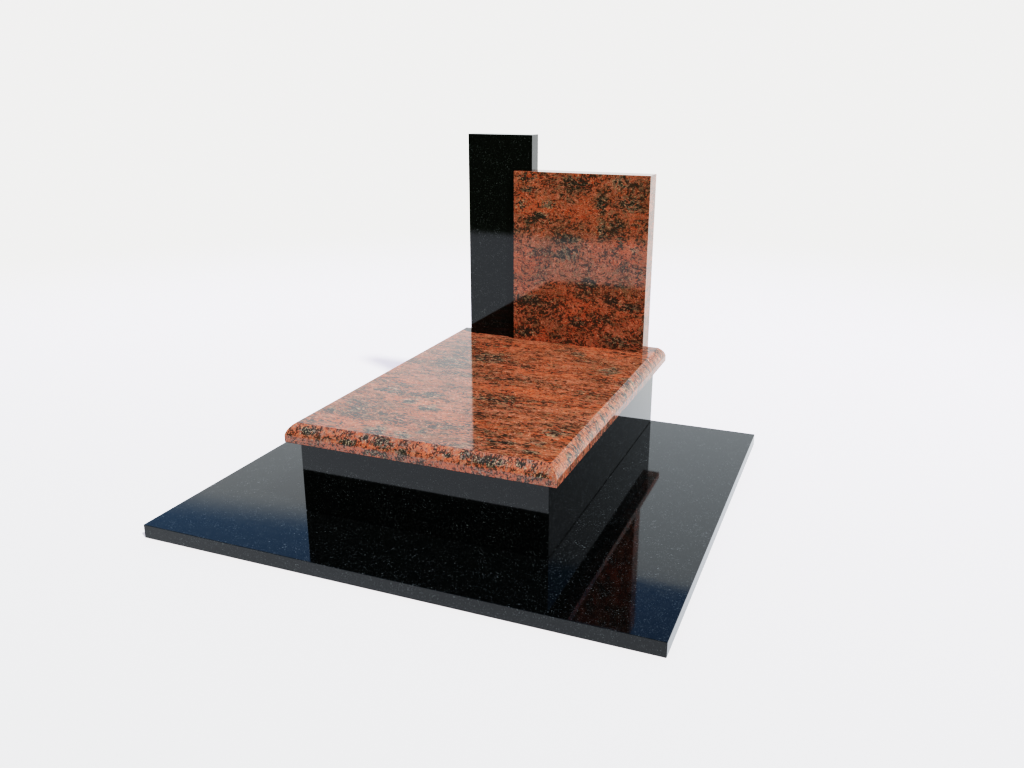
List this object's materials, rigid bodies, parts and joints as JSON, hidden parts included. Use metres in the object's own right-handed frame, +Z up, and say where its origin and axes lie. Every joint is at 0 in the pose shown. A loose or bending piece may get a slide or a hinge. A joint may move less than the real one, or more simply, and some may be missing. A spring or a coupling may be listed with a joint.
{
  "type": "urn grave monument",
  "caption": "Urn grave monument of polished granite: a base slab, a hollow plinth under a cover slab with a rounded edge, and a red headstone beside a tall black stele.",
  "frame": {"origin": "centre of the base slab's underside", "axes": "+X to the visitor's right along the slab's width, +Y from the visitor towards the steles, +Z up"},
  "size_m": [1.1, 1.03, 0.7729],
  "materials": {
    "black_granite": "polished",
    "red_granite": "polished"
  },
  "bodies": {
    "root": {"base_slab": "black_granite", "plinth_front": "black_granite", "plinth_back": "black_granite", "plinth_left": "black_granite", "plinth_right": "black_granite", "cover_slab": "red_granite", "headstone": "red_granite", "stele": "black_granite"}
  },
  "joints": []
}
